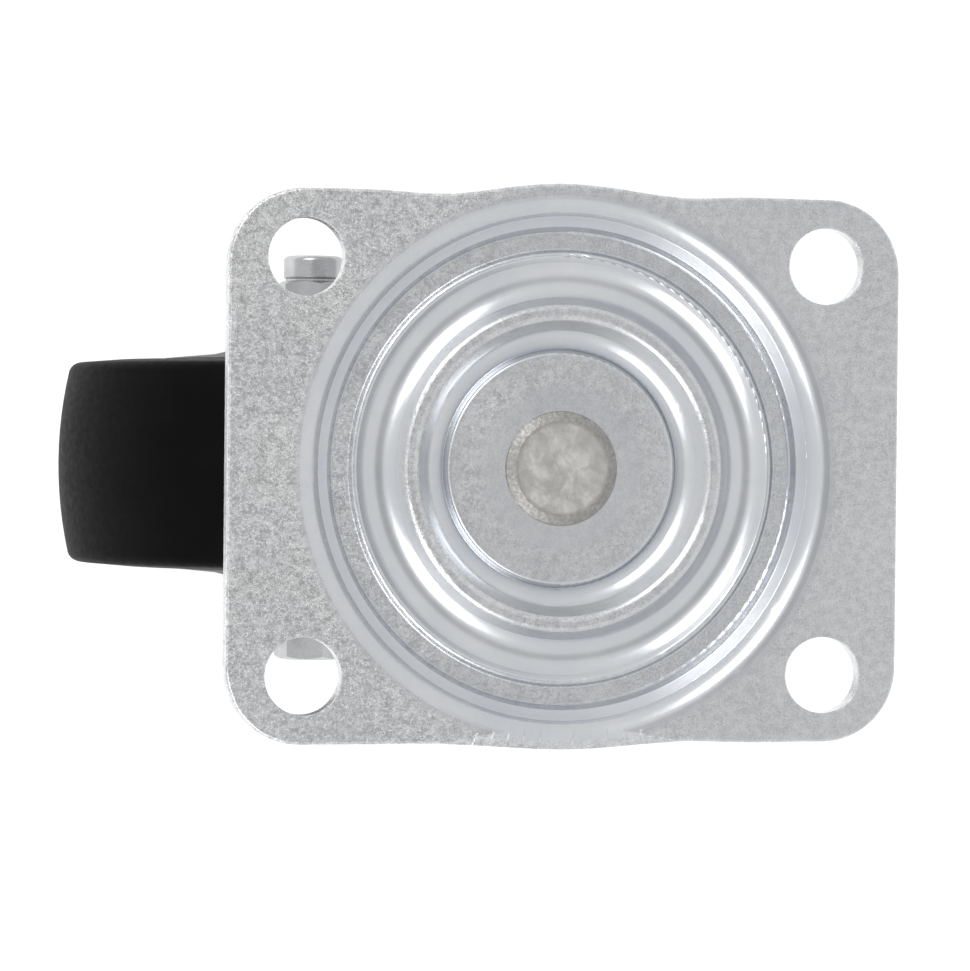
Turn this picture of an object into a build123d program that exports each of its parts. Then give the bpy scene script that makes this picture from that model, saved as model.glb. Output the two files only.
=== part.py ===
from build123d import *
import math
import os

# Swivel plate castor, 80 mm wheel, zinc-plated pressed steel housing.
# Frame: millimetres, +Z up. The origin is on the swivel axis, in the plate's
# mounting face. The wheel trails towards -X and its axle lies along Y.
# Everything below the mounting face has z < 0.

# ----------------------------------------------------------------- dimensions
# top plate
PLATE_L = 100.0            # along X
PLATE_W = 79.7             # along Y, away from the two bulges
PLATE_T = 3.0
PLATE_CORNER = 11.0
BOLT_PITCH_X = 77.5
BOLT_PITCH_Y = 60.0
BOLT_HOLE_D = 11.2
SEAT_Z = -4.4              # face of the raised centre seat, below the mounting face
SEAT_R = 16.9

# swivel head
UPPER_BALL_D = 5.0
UPPER_BALL_PITCH_R = 22.7
UPPER_BALL_Z = -7.85
UPPER_BALL_COUNT = 26
LOWER_BALL_D = 4.0
LOWER_BALL_PITCH_R = 12.8
LOWER_BALL_Z = -13.03
LOWER_BALL_COUNT = 18
RACE_CLEAR = 0.03
KINGPIN_NECK_R = 6.0
KINGPIN_SHANK_R = 7.0
KINGPIN_PEEN_R = 8.4
KINGPIN_HEAD_R = 11.5

# fork
FORK_T = 2.5
CROWN_Z = -9.3             # upper face of the crown
CROWN_R = 29.0
FORK_INNER = 44.0          # between the legs
LEG_BOSS_R = 12.8

# wheel and axle
TRAIL = 25.5
AXLE_Z = -66.0
WHEEL_D = 80.0
TREAD_W = 31.3             # across the shoulders
SIDE_W = 32.2              # across the sidewalls
TREAD_DROP = 1.9           # crown of the tread, centre to shoulder
RIM_R = 29.0
HUB_R = 12.6
HUB_LEN = 40.0
AXLE_D = 6.0
SLEEVE_R = 6.0
ROLLER_D = 4.0
ROLLER_PITCH_R = 8.05
ROLLER_COUNT = 9
ROLLER_LEN = 33.0
SHELL_IN_R = 10.1
SHELL_OUT_R = 11.0
HEX_AF = 10.0
HEAD_H = 6.4                # round shoulder and hexagon together
SHOULDER_H = 1.9
NUT_HEX_H = 4.4
NUT_COLLAR_H = 4.0

os.makedirs("parts", exist_ok=True)


# ------------------------------------------------------------------- helpers
def revolved(points, radii=None):
    """Solid of revolution about Z from a closed outline of (r, z) corners.
    radii gives each corner's rounding, 0 for a sharp corner."""
    n = len(points)
    radii = radii or [0.0] * n
    edges = []
    starts = []
    for i in range(n):
        p, r = Vector(*points[i]), radii[i]
        if r <= 0:
            starts.append((p, p, None))
            continue
        a = Vector(*points[i - 1]) - p
        b = Vector(*points[(i + 1) % n]) - p
        ang = math.acos(max(-1, min(1, a.normalized().dot(b.normalized()))))
        t = r / math.tan(ang / 2)
        bis = (a.normalized() + b.normalized()).normalized()
        c = p + bis * (r / math.sin(ang / 2))
        starts.append((p + a.normalized() * t, p + b.normalized() * t, c - bis * r))
    for i in range(n):
        p1, p2, mid = starts[i]
        if mid is not None:
            edges.append(ThreePointArc(p1, mid, p2))
        q = starts[(i + 1) % n][0]
        if (q - p2).length > 1e-6:
            edges.append(Line(p2, q))
    face = make_face(edges)
    return revolve(Plane.XZ * face, Axis.Z, 360)


def tube(r_out, r_in, z0, z1):
    return revolved([(r_in, z0), (r_out, z0), (r_out, z1), (r_in, z1)])


def along_y(part, y0=0.0):
    """Turn a part modelled about Z so that its axis is the wheel axle."""
    return Pos(-TRAIL, y0, AXLE_Z) * (Rot(-90, 0, 0) * part)


def ring_of(count, make, phase=0.0):
    return [Rot(0, 0, phase + 360.0 * k / count) * make() for k in range(count)]


def single(part):
    """The one solid of a boolean result, as a plain Solid."""
    solids = part.solids()
    assert len(solids) == 1, len(solids)
    return solids[0]


def torus(pitch_r, z, r):
    return Pos(0, 0, z) * Torus(pitch_r, r)


NODES = {}

# ------------------------------------------------------------------ top plate
# Outline: a rectangle with round corners. The pressing of the dish has swelled
# both long edges beside it and drawn them in slightly on each side of the swell.
hx, hy, rc = PLATE_L / 2, PLATE_W / 2, PLATE_CORNER
rear = Spline((hx - rc, hy), (24.0, hy), (18.1, hy - 0.22), (9.4, hy + 0.62),
              (-1.0, hy + 1.45), (-10.6, hy + 0.55), (-19.0, hy - 0.42),
              (-26.0, hy - 0.12), (-hx + rc, hy), tangents=((-1, 0), (-1, 0)))
front = Spline((-hx + rc, -hy), (-26.0, -hy + 0.05), (-19.5, -hy + 0.05),
               (-9.4, -hy - 0.5), (1.5, -hy - 0.98), (9.4, -hy - 0.45),
               (17.6, -hy + 0.17), (25.0, -hy), (hx - rc, -hy),
               tangents=((1, 0), (1, 0)))
outline = make_face([
    rear,
    RadiusArc((-hx + rc, hy), (-hx, hy - rc), -rc),
    Line((-hx, hy - rc), (-hx, -hy + rc)),
    RadiusArc((-hx, -hy + rc), (-hx + rc, -hy), -rc),
    front,
    RadiusArc((hx - rc, -hy), (hx, -hy + rc), -rc),
    Line((hx, -hy + rc), (hx, hy - rc)),
    RadiusArc((hx, hy - rc), (hx - rc, hy), -rc),
])
sheet = extrude(outline, -PLATE_T)
sheet = fillet(sheet.edges().group_by(Axis.Z)[-1], 0.45)
sheet = fillet(sheet.edges().group_by(Axis.Z)[0], 0.3)

# Pressed dish, upper face from the lip inwards: rounded lip, narrow ledge,
# flat-bottomed groove, low crest, smooth trough, crest over the ball track,
# slope down to a fine groove, raised flat seat for the kingpin.
upper = [(38.1, 0.0), (36.6, -1.8), (35.15, -2.35), (34.4, -3.6), (31.9, -3.6),
         (31.05, -2.85), (27.5, -5.9), (23.5, -2.4), (21.9, -2.4),
         (19.6, -4.9), (17.55, -5.5), (SEAT_R, SEAT_Z)]
upper_r = [3.2, 0.3, 0.35, 0.5, 0.45, 0.55, 3.9, 1.1, 1.1, 3.0, 0.35, 0.55]
cavity = revolved([(0, 3.0), (41.5, 3.0), (41.5, 0.0)] + upper + [(0, SEAT_Z)],
                  [0, 0, 0] + upper_r + [0])
# material of the dish, down to its underside
under = [(37.4, -1.5), (36.9, -3.9), (35.2, -6.6), (31.2, -6.6), (29.9, -6.9), (27.5, -8.4),
         (25.4, -6.9), (20.3, -6.9), (18.4, -8.4), (16.6, -8.4), (15.7, -7.4)]
under_r = [0, 1.2, 1.6, 0.6, 0.8, 1.8, 0.8, 0.7, 0.7, 0.7, 0.5]
bowl = revolved([(0, -7.4), (0, -1.5)] + under, [0, 0] + under_r)
plate = sheet + bowl
plate -= cavity
plate -= torus(UPPER_BALL_PITCH_R, UPPER_BALL_Z, UPPER_BALL_D / 2 + RACE_CLEAR)
plate -= Cylinder(KINGPIN_NECK_R + 0.05, 30)
for sx in (-1, 1):
    for sy in (-1, 1):
        at = Pos(sx * BOLT_PITCH_X / 2, sy * BOLT_PITCH_Y / 2, 0)
        r = BOLT_HOLE_D / 2
        plate -= at * revolved([(0, -6), (r + 0.25, -6), (r + 0.25, -PLATE_T), (r, -PLATE_T + 0.25),
                                (r, -0.2), (r + 0.2, 0), (r + 0.2, 2), (0, 2)])
# The front edge is pressed down beside the dish: a lens-shaped sloping facet
# scored across by the tool at an even pitch. The facet is part of a funnel
# whose axis stands outside the plate.
FACET_R = 72.0
FACET_Y = -37.5 - FACET_R
FACET_SLOPE = math.tan(math.radians(31))
facet_cut = Pos(0, FACET_Y, 0) * revolved(
    [(FACET_R - 10, -10 * FACET_SLOPE), (FACET_R + 3, 3 * FACET_SLOPE), (FACET_R - 10, 3 * FACET_SLOPE)])
plate -= facet_cut & Pos(0, -42, 0) * Box(60, 12, 12)
for k in range(12):
    x = -13.6 + 2.48 * k
    lean = 20.0 * max(0.0, -x - 6.0) / 7.6
    depth = (0.34, 0.26, 0.24, 0.28, 0.36, 0.34, 0.38, 0.32, 0.38, 0.36, 0.34, 0.28)[k]
    y_mid = -39.4
    z_mid = -(FACET_R - math.hypot(x, y_mid - FACET_Y)) * FACET_SLOPE
    tilt = math.degrees(math.atan(FACET_SLOPE))
    plate -= (Pos(x, y_mid, z_mid) * Rot(0, 0, -lean) * Rot(tilt, 0, 0) *
              Pos(0, 0, 0.4 - depth)) * Box(0.32, 6.0, 0.8)
NODES["top_plate"] = single(plate)

# -------------------------------------------------------------------- kingpin
# Rivet: forged head below, stepped shank, upper end peened over the seat.
NODES["kingpin"] = single(revolved(
    [(0, -19.9), (9.6, -19.9), (KINGPIN_HEAD_R, -18.6), (KINGPIN_HEAD_R, -17.1),
     (KINGPIN_SHANK_R, -17.1), (KINGPIN_SHANK_R, -7.4), (KINGPIN_NECK_R, -7.4),
     (KINGPIN_NECK_R, SEAT_Z), (KINGPIN_PEEN_R, SEAT_Z), (KINGPIN_PEEN_R - 0.1, SEAT_Z + 0.35),
     (7.0, SEAT_Z + 0.95), (5.6, SEAT_Z + 1.0), (0, SEAT_Z + 0.9)],
    [0, 2.5, 0.5, 0.3, 0, 0.2, 0, 0, 0, 0.15, 0.5, 0.6, 0]))

# Lower race: a pressed cup under the crown, held up by the kingpin's head.
cup = revolved(
    [(KINGPIN_SHANK_R + 0.05, -17.1), (15.2, -17.1), (17.9, -15.4), (17.9, -12.8),
     (16.4, -12.8), (16.0, -14.1), (9.9, -14.1), (9.2, -14.6), (KINGPIN_SHANK_R + 0.05, -14.6)],
    [0, 1.6, 1.4, 0.5, 0.3, 0.6, 0.3, 0.3, 0])
cup -= torus(LOWER_BALL_PITCH_R, LOWER_BALL_Z, LOWER_BALL_D / 2 + RACE_CLEAR)
NODES["lower_race_cup"] = single(cup)

# ----------------------------------------------------------------------- balls
NODES["upper_balls"] = Compound(ring_of(
    UPPER_BALL_COUNT, lambda: Pos(UPPER_BALL_PITCH_R, 0, UPPER_BALL_Z) * Sphere(UPPER_BALL_D / 2)))
NODES["lower_balls"] = Compound(ring_of(
    LOWER_BALL_COUNT, lambda: Pos(LOWER_BALL_PITCH_R, 0, LOWER_BALL_Z) * Sphere(LOWER_BALL_D / 2)))

# ------------------------------------------------------------------------ fork
# One pressing: a round crown with both ball tracks, a skirt that leans in, and
# two flat legs that sweep back to the axle.
leg_in = FORK_INNER / 2
leg_out = leg_in + FORK_T
crown = revolved(
    [(9.0, -11.8), (9.0, CROWN_Z), (10.4, CROWN_Z), (11.4, -8.75), (14.2, -8.75), (15.3, CROWN_Z),
     (CROWN_R, CROWN_Z), (CROWN_R, -14.5), (leg_out - 0.35, -34.0), (leg_in - 0.35, -34.0),
     (CROWN_R - FORK_T, -14.2), (CROWN_R - FORK_T, -11.8), (25.9, -11.8), (24.8, -12.8),
     (20.6, -12.8), (19.5, -11.8)],
    [0.3, 0.3, 0.5, 0.6, 0.6, 0.5, 3.6, 6.0, 0, 0, 3.0, 0.1, 0.2, 0.5, 0.5, 0.5])
crown -= torus(UPPER_BALL_PITCH_R, UPPER_BALL_Z, UPPER_BALL_D / 2 + RACE_CLEAR)
crown -= torus(LOWER_BALL_PITCH_R, LOWER_BALL_Z, LOWER_BALL_D / 2 + RACE_CLEAR)

# side outline of the legs, in X and Z
bx, bz, br = -TRAIL, AXLE_Z, LEG_BOSS_R


def on_boss(deg):
    return (bx + br * math.cos(math.radians(deg)), bz + br * math.sin(math.radians(deg)))


leg_face = make_face([
    Line((-17.5, -12.6), (15.5, -12.6)),
    Line((15.5, -12.6), (15.5, -17.0)),
    Spline((15.5, -17.0), (10.4, -30.0), (0.5, -44.5), (-9.4, -56.5), on_boss(20),
           tangents=((-0.1, -1), (-math.sin(math.radians(20)), math.cos(math.radians(20)) * -1))),
    ThreePointArc(on_boss(20), on_boss(-80), on_boss(180)),
    Spline(on_boss(180), (-36.2, -52.0), (-29.4, -34.0), (-20.2, -20.5), (-17.5, -17.0),
           tangents=((0.02, 1), (0.5, 1))),
    Line((-17.5, -17.0), (-17.5, -12.6)),
])
side = extrude(Plane.XZ * leg_face, 40, both=True)
legs = None
for s in (-1, 1):
    slab = Pos(-10, s * (leg_in + FORK_T / 2), -46.3) * Box(80, FORK_T, 66.0)
    legs = slab if legs is None else legs + slab
lower = (crown + legs) & side
upper_ring = crown & Pos(0, 0, -7.6) * Box(80, 80, 14.4)
fork = upper_ring + lower
fork -= Pos(0, 0, -50.0) * Box(160, FORK_INNER, 70.4)
fork -= along_y(Cylinder(AXLE_D / 2 + 0.15, 80))
NODES["fork"] = single(fork)

# -------------------------------------------------------------- axle hardware
hex_r = HEX_AF / math.sqrt(3)


def hex_prism(h, turn):
    return Rot(0, 0, turn) * extrude(RegularPolygon(hex_r, 6), h)


# bolt: head on the front leg (-Y), a round shoulder under its hexagon
BOLT_LEN = 2 * leg_out + NUT_HEX_H + NUT_COLLAR_H - 0.7
head = hex_prism(HEAD_H, 20) & revolved(
    [(0, 0), (6.2, 0), (6.2, HEAD_H - 0.75), (4.7, HEAD_H), (0, HEAD_H)])
shoulder = revolved([(0, 0), (6.1, 0), (6.1, SHOULDER_H), (0, SHOULDER_H)], [0, 0.3, 0.4, 0])
shank = revolved([(0, -BOLT_LEN), (2.2, -BOLT_LEN), (AXLE_D / 2, -BOLT_LEN + 0.8),
                  (AXLE_D / 2, 0), (0, 0)])
bolt = head + shoulder + shank
NODES["axle_bolt"] = single(Pos(-TRAIL, -leg_out, AXLE_Z) * (Rot(90, 0, 0) * bolt))

# locking nut on the rear leg (+Y): hexagon, then a round collar that is rolled
# in over a nylon ring
nut_h = NUT_HEX_H + NUT_COLLAR_H
hexa = hex_prism(NUT_HEX_H, 30) & revolved(
    [(0, 0), (4.9, 0), (5.9, 0.5), (5.9, NUT_HEX_H - 0.55), (4.8, NUT_HEX_H), (0, NUT_HEX_H)])
collar = revolved([(0, NUT_HEX_H - 0.3), (4.4, NUT_HEX_H - 0.3), (4.4, NUT_HEX_H + 0.3),
                   (4.68, NUT_HEX_H + 0.6), (4.68, nut_h), (0, nut_h)], [0, 0, 0, 0.2, 0.8, 0])
nut = hexa + collar
nut -= Pos(0, 0, nut_h / 2) * Cylinder(AXLE_D / 2 + 0.04, nut_h + 2)
nut -= Pos(0, 0, NUT_HEX_H + 0.4) * Cylinder(4.0, 2.5, align=(Align.CENTER, Align.CENTER, Align.MIN))
nut -= Pos(0, 0, NUT_HEX_H + 2.8) * Cylinder(3.6, 3, align=(Align.CENTER, Align.CENTER, Align.MIN))
NODES["axle_nut"] = single(Pos(-TRAIL, leg_out, AXLE_Z) * (Rot(-90, 0, 0) * nut))
insert = revolved([(AXLE_D / 2 + 0.02, NUT_HEX_H + 0.4), (3.98, NUT_HEX_H + 0.4),
                   (3.98, NUT_HEX_H + 2.9), (AXLE_D / 2 + 0.02, NUT_HEX_H + 2.9)], [0.2, 0, 0, 0.3])
NODES["nut_insert"] = single(Pos(-TRAIL, leg_out, AXLE_Z) * (Rot(-90, 0, 0) * insert))

NODES["axle_sleeve"] = single(along_y(tube(SLEEVE_R, AXLE_D / 2 + 0.1, -leg_in, leg_in)))
washer = tube(11.0, SLEEVE_R + 0.05, 0, 1.2)
NODES["hub_washer_left"] = single(along_y(washer, -leg_in))
NODES["hub_washer_right"] = single(along_y(washer, leg_in - 1.2))

# ---------------------------------------------------------------- roller bearing
NODES["bearing_rollers"] = Compound([
    along_y(Rot(0, 0, 360.0 * k / ROLLER_COUNT) * Pos(ROLLER_PITCH_R, 0, 0) *
            revolved([(0, -ROLLER_LEN / 2), (ROLLER_D / 2 - 0.3, -ROLLER_LEN / 2),
                      (ROLLER_D / 2, -ROLLER_LEN / 2 + 0.3), (ROLLER_D / 2, ROLLER_LEN / 2 - 0.3),
                      (ROLLER_D / 2 - 0.3, ROLLER_LEN / 2), (0, ROLLER_LEN / 2)]))
    for k in range(ROLLER_COUNT)])
cage = tube(9.0, 7.2, -ROLLER_LEN / 2 - 2.0, ROLLER_LEN / 2 + 2.0)
for k in range(ROLLER_COUNT):
    cage -= Rot(0, 0, 360.0 * k / ROLLER_COUNT) * Pos(ROLLER_PITCH_R, 0, 0) * \
        Cylinder(ROLLER_D / 2 + 0.12, ROLLER_LEN + 0.4)
NODES["roller_cage"] = single(along_y(cage))
NODES["bearing_shell"] = single(along_y(tube(SHELL_OUT_R, SHELL_IN_R, -19.0, 19.0)))

# ------------------------------------------------------------------------ wheel
# centre: hub, thin web, ten ribs a side, rim with a keying ridge for the tyre
hub_h = HUB_LEN / 2 - 0.6
core = revolved(
    [(SHELL_OUT_R, -hub_h), (HUB_R - 0.6, -hub_h), (HUB_R, -hub_h + 0.6), (HUB_R, -hub_h + 4.0),
     (HUB_R + 0.8, -3.2),
     (25.2, -3.2), (26.0, -15.8), (RIM_R, -15.8), (RIM_R, -7.0), (RIM_R + 1.8, -5.8),
     (RIM_R + 1.8, 5.8), (RIM_R, 7.0), (RIM_R, 15.8), (26.0, 15.8), (25.2, 3.2),
     (HUB_R + 0.8, 3.2), (HUB_R, hub_h - 4.0), (HUB_R, hub_h - 0.6), (HUB_R - 0.6, hub_h),
     (SHELL_OUT_R, hub_h)],
    [0, 0, 0, 0, 1.2, 1.2, 0.6, 0.3, 0, 0, 0, 0, 0.3, 0.6, 1.2, 1.2, 0, 0, 0, 0])
rib = Pos(19.2, 0, 0) * Box(14.0, 2.0, 25.0)
for k in range(10):
    core += Rot(0, 0, 36.0 * k) * rib
NODES["wheel_centre"] = single(along_y(core))

R = WHEEL_D / 2
half = TREAD_W / 2
side_y = SIDE_W / 2
rs = R - TREAD_DROP
# crowned tread: one arc from shoulder to shoulder, with a fine seam ridge
sag_r = (half * half + TREAD_DROP * TREAD_DROP) / (2 * TREAD_DROP)


def tread_at(y):
    return R - sag_r + math.sqrt(sag_r * sag_r - y * y)


ye = half - 1.5
tyre_face = make_face([
    Line((RIM_R, -15.8), (RIM_R + 1.2, -15.85)),
    Line((RIM_R + 1.2, -15.85), (RIM_R + 2.2, -side_y)),
    Line((RIM_R + 2.2, -side_y), (rs - 1.5, -half)),
    ThreePointArc((rs - 1.5, -half), (rs - 0.35, -half + 0.42), (tread_at(ye), -ye)),
    ThreePointArc((tread_at(ye), -ye), (tread_at(7.5), -7.5), (tread_at(0.25), -0.25)),
    Line((tread_at(0.25), -0.25), (R, -0.12)),
    Line((R, -0.12), (R, 0.12)),
    Line((R, 0.12), (tread_at(0.25), 0.25)),
    ThreePointArc((tread_at(0.25), 0.25), (tread_at(7.5), 7.5), (tread_at(ye), ye)),
    ThreePointArc((tread_at(ye), ye), (rs - 0.35, half - 0.42), (rs - 1.5, half)),
    Line((rs - 1.5, half), (RIM_R + 2.2, side_y)),
    Line((RIM_R + 2.2, side_y), (RIM_R + 1.2, 15.85)),
    Line((RIM_R + 1.2, 15.85), (RIM_R, 15.8)),
    Line((RIM_R, 15.8), (RIM_R, 7.0)),
    Line((RIM_R, 7.0), (RIM_R + 1.8, 5.8)),
    Line((RIM_R + 1.8, 5.8), (RIM_R + 1.8, -5.8)),
    Line((RIM_R + 1.8, -5.8), (RIM_R, -7.0)),
    Line((RIM_R, -7.0), (RIM_R, -15.8)),
])
NODES["tyre"] = single(along_y(revolve(Plane.XZ * tyre_face, Axis.Z, 360)))

# thread guards: shallow plastic dishes pushed onto the ends of the hub
guard = revolved(
    [(6.6, 19.4), (HUB_R + 0.02, 19.4), (HUB_R + 0.02, 16.4), (14.2, 15.6), (23.6, 15.2),
     (23.6, 16.45), (15.6, 17.2), (13.5, 17.7), (13.5, 20.3), (6.6, 20.3)],
    [0, 0.2, 0, 0.6, 0.3, 0.4, 1.0, 0.5, 0.6, 0.3])
NODES["thread_guard_right"] = single(along_y(guard))
NODES["thread_guard_left"] = single(Pos(-TRAIL, 0, AXLE_Z) * (Rot(90, 0, 0) * guard))

# ----------------------------------------------------------------------- export
for name, shape in NODES.items():
    shape.label = name
    export_step(shape, f"parts/{name}.step")
    bb = shape.bounding_box()
    print(f"{name:20s} solids {len(shape.solids()):3d}  volume {shape.volume:10.1f}  "
          f"x {bb.min.X:7.2f} {bb.max.X:7.2f}  y {bb.min.Y:7.2f} {bb.max.Y:7.2f}  "
          f"z {bb.min.Z:7.2f} {bb.max.Z:7.2f}")
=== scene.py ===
import math
import bpy
from mathutils import Matrix, Vector


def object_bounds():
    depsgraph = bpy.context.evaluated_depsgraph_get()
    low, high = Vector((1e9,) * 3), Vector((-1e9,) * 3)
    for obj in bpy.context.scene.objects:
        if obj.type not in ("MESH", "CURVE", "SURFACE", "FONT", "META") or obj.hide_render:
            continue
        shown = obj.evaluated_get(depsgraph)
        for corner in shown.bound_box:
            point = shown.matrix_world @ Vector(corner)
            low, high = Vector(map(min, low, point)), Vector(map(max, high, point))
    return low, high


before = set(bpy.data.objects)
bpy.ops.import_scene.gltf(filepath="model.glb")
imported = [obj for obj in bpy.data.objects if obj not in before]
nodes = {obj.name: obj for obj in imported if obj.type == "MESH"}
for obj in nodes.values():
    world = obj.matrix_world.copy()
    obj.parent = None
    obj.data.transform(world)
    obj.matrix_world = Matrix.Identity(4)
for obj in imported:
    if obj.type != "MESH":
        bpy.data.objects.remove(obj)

cad_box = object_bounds()
scene = bpy.context.scene


# ------------------------------------------------------------ node-tree helper
class Tree:
    def __init__(self, name):
        self.mat = bpy.data.materials.new(name)
        self.mat.use_nodes = True
        self.t = self.mat.node_tree
        self.t.nodes.clear()
        self.out = self.new("ShaderNodeOutputMaterial")
        self.bsdf = self.new("ShaderNodeBsdfPrincipled")
        self.link(self.bsdf.outputs[0], self.out.inputs["Surface"])

    def new(self, kind, **props):
        n = self.t.nodes.new(kind)
        for k, v in props.items():
            setattr(n, k, v)
        return n

    def link(self, a, b):
        self.t.links.new(a, b)

    def put(self, sock, v):
        if hasattr(v, "is_linked") or hasattr(v, "links"):
            self.link(v, sock)
        elif isinstance(v, (tuple, list)) and len(v) == 3 and sock.type == "RGBA":
            sock.default_value = (*v, 1.0)
        else:
            sock.default_value = v

    def pos(self):
        if not hasattr(self, "_pos"):
            self._pos = self.new("ShaderNodeTexCoord").outputs["Object"]
        return self._pos

    def mapped(self, scale=(1, 1, 1), loc=(0, 0, 0), rot=(0, 0, 0), vec=None):
        m = self.new("ShaderNodeMapping")
        self.link(vec or self.pos(), m.inputs["Vector"])
        m.inputs["Scale"].default_value = scale
        m.inputs["Location"].default_value = loc
        m.inputs["Rotation"].default_value = rot
        return m.outputs["Vector"]

    def noise(self, scale, detail=3.0, rough=0.55, distort=0.0, vec=None, kind="FBM"):
        n = self.new("ShaderNodeTexNoise")
        n.noise_dimensions = "3D"
        self.link(vec or self.pos(), n.inputs["Vector"])
        n.inputs["Scale"].default_value = scale
        n.inputs["Detail"].default_value = detail
        n.inputs["Roughness"].default_value = rough
        n.inputs["Distortion"].default_value = distort
        return n.outputs["Fac"]

    def voronoi(self, scale, feature="F1", rand=1.0, vec=None, out="Distance"):
        n = self.new("ShaderNodeTexVoronoi")
        n.feature = feature
        self.link(vec or self.pos(), n.inputs["Vector"])
        n.inputs["Scale"].default_value = scale
        n.inputs["Randomness"].default_value = rand
        return n.outputs[out]

    def math(self, op, a, b=0.0, c=0.0, clamp=False):
        n = self.new("ShaderNodeMath", operation=op)
        n.use_clamp = clamp
        self.put(n.inputs[0], a)
        self.put(n.inputs[1], b)
        self.put(n.inputs[2], c)
        return n.outputs[0]

    def span(self, v, a, b, lo=0.0, hi=1.0, smooth=False):
        n = self.new("ShaderNodeMapRange")
        n.clamp = True
        n.interpolation_type = "SMOOTHSTEP" if smooth else "LINEAR"
        self.put(n.inputs["Value"], v)
        n.inputs["From Min"].default_value = a
        n.inputs["From Max"].default_value = b
        self.put(n.inputs["To Min"], lo)
        self.put(n.inputs["To Max"], hi)
        return n.outputs["Result"]

    def mix(self, fac, a, b):
        n = self.new("ShaderNodeMix")
        n.data_type = "RGBA"
        self.put(n.inputs[0], fac)
        self.put(n.inputs[6], a)
        self.put(n.inputs[7], b)
        return n.outputs[2]

    def ramp(self, fac, stops, interp="LINEAR"):
        n = self.new("ShaderNodeValToRGB")
        n.color_ramp.interpolation = interp
        e = n.color_ramp.elements
        while len(e) < len(stops):
            e.new(0.5)
        for i, (p, c) in enumerate(stops):
            e[i].position = p
            c = (c, c, c) if not isinstance(c, (tuple, list)) else c
            e[i].color = (*c, 1.0)
        self.put(n.inputs["Fac"], fac)
        return n.outputs["Color"]

    def sep(self):
        if not hasattr(self, "_sep"):
            n = self.new("ShaderNodeSeparateXYZ")
            self.link(self.pos(), n.inputs[0])
            self._sep = n.outputs
        return self._sep

    def bump(self, height, strength, distance, normal=None):
        n = self.new("ShaderNodeBump")
        self.put(n.inputs["Height"], height)
        n.inputs["Strength"].default_value = strength
        n.inputs["Distance"].default_value = distance
        if normal is not None:
            self.link(normal, n.inputs["Normal"])
        return n.outputs["Normal"]

    def finish(self, color=None, rough=None, metal=None, normal=None, **more):
        b = self.bsdf.inputs
        if color is not None:
            self.put(b["Base Color"], color)
        if rough is not None:
            self.put(b["Roughness"], rough)
        if metal is not None:
            self.put(b["Metallic"], metal)
        if normal is not None:
            self.link(normal, b["Normal"])
        for k, v in more.items():
            self.put(b[k], v)
        return self.mat


def dress(name, mat):
    ob = nodes[name]
    ob.data.materials.clear()
    ob.data.materials.append(mat)


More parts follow.
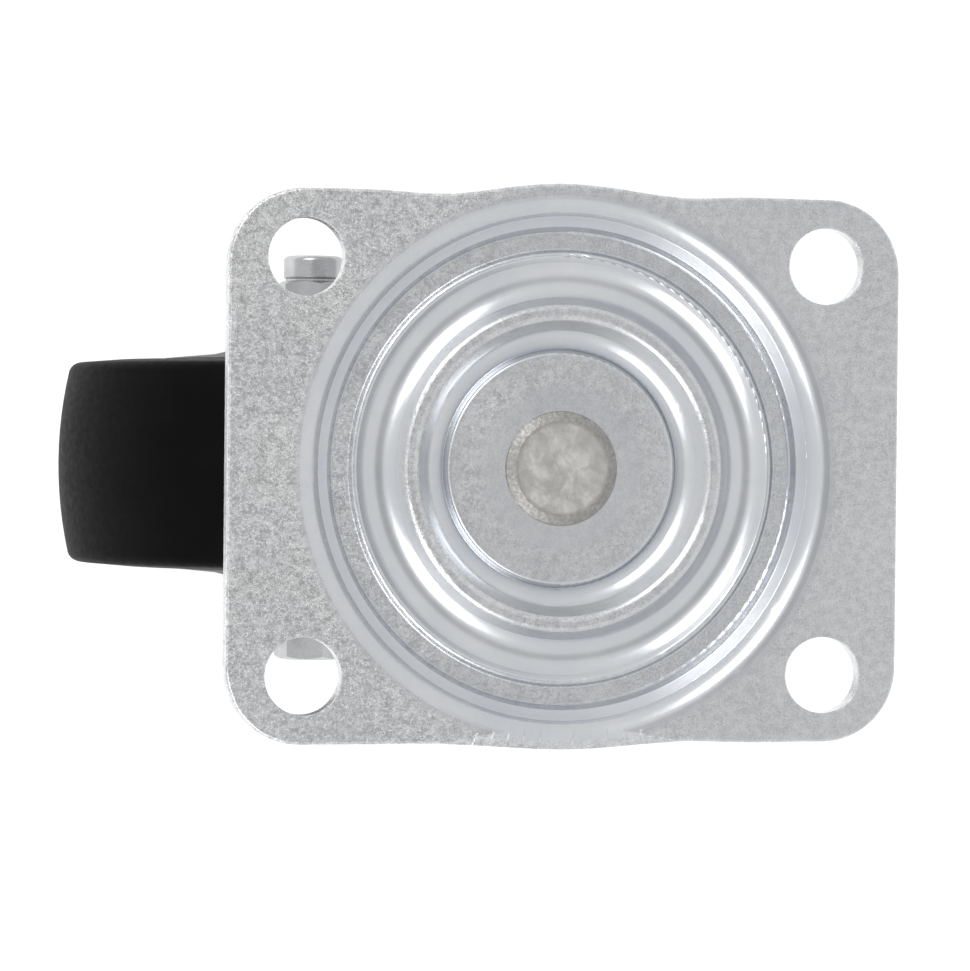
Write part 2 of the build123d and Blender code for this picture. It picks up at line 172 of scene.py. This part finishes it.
# ------------------------------------------------------------------- materials
def zinc_plate():
    """Zinc-plated pressed sheet: rolled grain and pits where the sheet is as
    rolled, smoother and bluer where the press has drawn it, with painted glints and painted shade in the
    grooves, creases and on the -X side."""
    t = Tree("zinc_plate")
    x, y, z = t.sep()
    r = t.math("SQRT", t.math("ADD", t.math("MULTIPLY", x, x), t.math("MULTIPLY", y, y)))
    u = t.math("DIVIDE", r, 0.042)
    k = 1 / 42.0
    # how much rolled grain is left, by distance from the centre
    grain = t.ramp(u, [(0.0, .35), (11.0 * k, .35), (13.0 * k, .8), (16.2 * k, .7), (17.0 * k, .1),
                       (20.8 * k, .06), (21.9 * k, .75), (23.3 * k, .75), (24.4 * k, .04), (30.6 * k, .04),
                       (31.6 * k, .6), (32.2 * k, .75), (34.2 * k, .75), (34.6 * k, .08), (39.3 * k, .06),
                       (40.6 * k, 1.0)])
    fine = t.noise(4200, 2, 0.6)
    mid = t.noise(1900, 3, 0.65)
    broad = t.noise(700, 3, 0.6)
    cloud = t.noise(60, 4, 0.62)
    patch = t.span(t.noise(24, 3, 0.6, vec=t.mapped(loc=(0.21, 0.4, 0.0))), 0.35, 0.65, 0.55, 1.0)
    # painted shade: the grain, pits and dark speckle grow towards -X, so that side of the sheet reads darker
    side_shade = t.span(x, -0.040, 0.030, 1.0, 0.5, True)
    grain = t.math("MULTIPLY", t.math("MULTIPLY", grain, side_shade), patch)
    pits = t.math("MULTIPLY", t.span(mid, 0.57, 0.66, 0, 1, True), grain)
    # painted glints: sparse white specks in the base colour stand in for tiny highlights on the grain
    painted_glint = t.math("MULTIPLY", t.span(t.noise(2600, 1.5, 0.5, vec=t.mapped(loc=(0.3, 0.1, 0.7))), 0.64, 0.74, 0, 1, True), grain)
    height = t.math("ADD", t.math("MULTIPLY", fine, 0.35), t.math("ADD", t.math("MULTIPLY", mid, 0.45), t.math("MULTIPLY", broad, 0.4)))
    height = t.math("MULTIPLY", t.math("SUBTRACT", height, t.math("MULTIPLY", pits, 0.4)), grain)
    height = t.math("ADD", height, t.math("MULTIPLY", t.noise(300, 3, 0.5), 0.10))
    nrm = t.bump(height, 0.9, 0.00016)
    base = t.mix(t.span(cloud, 0.3, 0.7), (0.690, 0.712, 0.742), (0.775, 0.788, 0.805))
    worn = t.mix(t.span(t.math("ADD", t.math("MULTIPLY", fine, 0.3), t.math("ADD", t.math("MULTIPLY", mid, 0.4), t.math("MULTIPLY", broad, 0.3))), 0.42, 0.57), (0.36, 0.357, 0.352), (0.98, 0.975, 0.97))
    base = t.mix(t.math("MULTIPLY", grain, 0.85), base, worn)
    base = t.mix(t.math("MULTIPLY", pits, 0.8), base, (0.20, 0.198, 0.195))
    base = t.mix(t.math("MULTIPLY", painted_glint, 0.9), base, (1.0, 1.0, 1.0))
    # painted shade and dark reflections: bluish-dark rings in the groove round the disc and along the creases
    # and steep bands of the dish
    painted_ring_shade = t.ramp(u, [(0.0, 0.0), (15.8 * k, 0.0), (16.9 * k, 0.0), (17.5 * k, .75), (18.4 * k, .25), (19.4 * k, 0.0),
                           (31.0 * k, 0.0), (31.7 * k, .35), (32.3 * k, .12), (33.9 * k, .12), (34.4 * k, .5),
                           (34.9 * k, .18), (36.4 * k, .30), (36.9 * k, 0.0)])
    base = t.mix(t.math("MULTIPLY", painted_ring_shade, 0.85), base, (0.36, 0.39, 0.44))
    rough = t.math("ADD", t.math("MULTIPLY", grain, 0.10), t.span(cloud, 0.3, 0.7, 0.20, 0.27))
    return t.finish(base, rough, 1.0, nrm)


def zinc_part():
    """Zinc-plated pressed steel of the fork and small parts."""
    t = Tree("zinc_part")
    g = t.noise(1300, 4, 0.6)
    g2 = t.noise(520, 3, 0.6)
    cloud = t.noise(55, 3, 0.6)
    pits = t.span(t.noise(900, 2, 0.5), 0.62, 0.75, 0, 1, True)
    height = t.math("SUBTRACT", t.math("ADD", t.math("MULTIPLY", g, .5), t.math("MULTIPLY", g2, .5)),
                    t.math("MULTIPLY", pits, .3))
    nrm = t.bump(height, 0.4, 0.0001)
    base = t.mix(t.span(cloud, .3, .7), (0.52, 0.54, 0.565), (0.62, 0.635, 0.65))
    base = t.mix(pits, base, (0.42, 0.42, 0.43))
    return t.finish(base, t.span(g, .3, .7, .26, .38), 1.0, nrm)


def fastener():
    t = Tree("zinc_fastener")
    g = t.noise(900, 3, 0.55)
    nrm = t.bump(g, 0.18, 0.00008)
    base = t.mix(t.span(t.noise(170, 2, .5), .35, .65), (0.44, 0.445, 0.45), (0.56, 0.565, 0.57))
    return t.finish(base, t.span(g, .3, .7, .22, .34), 1.0, nrm)


def bare_steel():
    """Peened end of the kingpin: hammer marks inside, a duller ring outside with painted shade on its rolled
    edge.
    """
    t = Tree("bare_steel")
    x, y, z = t.sep()
    r = t.math("SQRT", t.math("ADD", t.math("MULTIPLY", x, x), t.math("MULTIPLY", y, y)))
    g = t.noise(330, 4, 0.62, 0.8)
    s = t.noise(300, 4, 0.65, 0.3, vec=t.mapped(scale=(1.0, 0.75, 1.0), rot=(0, 0, 0.9)))
    f = t.noise(1900, 3, 0.6)
    # painted shade: the rolled edge of the peened end is darkened in colour, and also made rougher
    rim_dull_shade = t.span(r, 0.0062, 0.0070, 0, 1, True)
    mark = t.span(s, 0.42, 0.62)
    nrm = t.bump(t.math("ADD", t.math("MULTIPLY", g, .6), t.math("ADD", t.math("MULTIPLY", s, .6), t.math("MULTIPLY", f, .3))), 0.75, 0.00028)
    base = t.mix(mark, (0.55, 0.54, 0.51), (0.74, 0.735, 0.715))
    base = t.mix(t.math("MULTIPLY", t.span(g, .42, .66), 0.5), base, (0.40, 0.39, 0.36))
    base = t.mix(t.math("MULTIPLY", rim_dull_shade, t.span(f, .3, .6, .45, .95)), base, (0.33, 0.325, 0.31))
    return t.finish(base, t.math("ADD", t.span(f, .3, .7, .36, .48), t.math("MULTIPLY", rim_dull_shade, .08)), 1.0, nrm)


def polished():
    t = Tree("bearing_steel")
    g = t.noise(500, 2, 0.5)
    base = t.mix(t.span(g, .35, .65), (0.72, 0.72, 0.73), (0.80, 0.80, 0.81))
    return t.finish(base, t.span(g, .3, .7, .08, .16), 1.0, t.bump(g, 0.05, 0.00005))


def rubber():
    t = Tree("black_rubber")
    g = t.noise(900, 4, 0.6)
    s = t.noise(90, 3, 0.6)
    nrm = t.bump(g, 0.35, 0.00006)
    base = t.mix(t.span(s, .35, .7), (0.0018, 0.0016, 0.0015), (0.0036, 0.0030, 0.0027))
    t.bsdf.inputs["Specular IOR Level"].default_value = 0.06
    return t.finish(base, t.span(g, .3, .7, .46, .60), 0.0, nrm)


def plastic(name, a, b, r0, r1):
    t = Tree(name)
    g = t.noise(1100, 3, 0.6)
    s = t.noise(70, 3, 0.6)
    return t.finish(t.mix(t.span(s, .3, .7), a, b), t.span(g, .3, .7, r0, r1), 0.0, t.bump(g, 0.25, 0.00005))


m_plate, m_zinc, m_fast = zinc_plate(), zinc_part(), fastener()
m_steel, m_ball, m_rubber = bare_steel(), polished(), rubber()
m_black = plastic("black_plastic", (0.016, 0.016, 0.017), (0.024, 0.024, 0.025), 0.42, 0.55)
m_nylon = plastic("white_nylon", (0.74, 0.73, 0.69), (0.80, 0.79, 0.75), 0.40, 0.55)
dress("top_plate", m_plate)
for n in ("fork", "lower_race_cup", "hub_washer_left", "hub_washer_right"):
    dress(n, m_zinc)
for n in ("axle_bolt", "axle_nut"):
    dress(n, m_fast)
for n in ("kingpin", "axle_sleeve", "bearing_shell"):
    dress(n, m_steel)
for n in ("upper_balls", "lower_balls", "bearing_rollers"):
    dress(n, m_ball)
dress("tyre", m_rubber)
for n in ("wheel_centre", "thread_guard_left", "thread_guard_right"):
    dress(n, m_black)
for n in ("nut_insert", "roller_cage"):
    dress(n, m_nylon)

# ------------------------------------------------------------ floor, light, sky
low = cad_box[0][2]
bpy.ops.mesh.primitive_plane_add(size=6.0, location=(0, 0, low - 0.0004))
floor = bpy.context.object
floor.name = "floor"
t = Tree("pale_floor")
t.finish((0.5, 0.5, 0.5), 0.8, 0.0)
t.bsdf.inputs["Emission Color"].default_value = (1, 1, 1, 1)
t.bsdf.inputs["Emission Strength"].default_value = 0.72
floor.data.materials.append(t.mat)

world = bpy.data.worlds.new("studio")
world.use_nodes = True
scene.world = world
wt = world.node_tree
wt.nodes.clear()
wo = wt.nodes.new("ShaderNodeOutputWorld")
bg = wt.nodes.new("ShaderNodeBackground")
wt.links.new(bg.outputs[0], wo.inputs[0])
tc = wt.nodes.new("ShaderNodeTexCoord")
sp = wt.nodes.new("ShaderNodeSeparateXYZ")
wt.links.new(tc.outputs["Generated"], sp.inputs[0])
mr = wt.nodes.new("ShaderNodeMapRange")
wt.links.new(sp.outputs["Z"], mr.inputs["Value"])
mr.inputs["From Min"].default_value = 0.99
mr.inputs["From Max"].default_value = 0.925
mr.inputs["To Min"].default_value = 0.45
mr.inputs["To Max"].default_value = 0.77
mr.interpolation_type = "SMOOTHSTEP"
wt.links.new(mr.outputs["Result"], bg.inputs["Strength"])
bg.inputs["Color"].default_value = (0.99, 0.992, 1.0, 1.0)


def soft_light(name, direction, dist, size, power, color=(1, 1, 1)):
    ld = bpy.data.lights.new(name, "AREA")
    ld.shape = "RECTANGLE"
    ld.size, ld.size_y = size
    ld.energy = power
    ld.color = color
    ob = bpy.data.objects.new(name, ld)
    scene.collection.objects.link(ob)
    d = Vector(direction).normalized()
    ob.location = d * dist
    ob.rotation_euler = (-d).to_track_quat("-Z", "Y").to_euler()
    return ob


soft_light("softbox_rear_left", (-0.42, 0.59, 0.69), 1.3, (0.75, 0.75), 4.4)
soft_light("softbox_front_left", (-0.42, -0.59, 0.69), 1.3, (0.75, 0.75), 4.4)

# ---------------------------------------------------------------------- camera
cd = bpy.data.cameras.new("camera")
cam = bpy.data.objects.new("camera", cd)
scene.collection.objects.link(cam)
scene.camera = cam
cd.sensor_fit = "HORIZONTAL"
cd.sensor_width = 36.0
cd.lens = 4230.9 / 970.0 * 36.0
cd.clip_start = 0.01
cd.clip_end = 20.0
right = Vector((0.97460576, 0.010013, 0.22370372)).normalized()
back = Vector((-0.22380502, 0.01049162, 0.97457747)).normalized()
up = back.cross(right).normalized()
right = up.cross(back).normalized()
m = Matrix((right, up, back)).transposed().to_4x4()
m.translation = Vector((-0.14891, 0.003884, 0.594464))
cam.matrix_world = m

scene.view_settings.view_transform = "Standard"
scene.view_settings.look = "None"
scene.view_settings.exposure = 0.0
scene.cycles.use_denoising = True
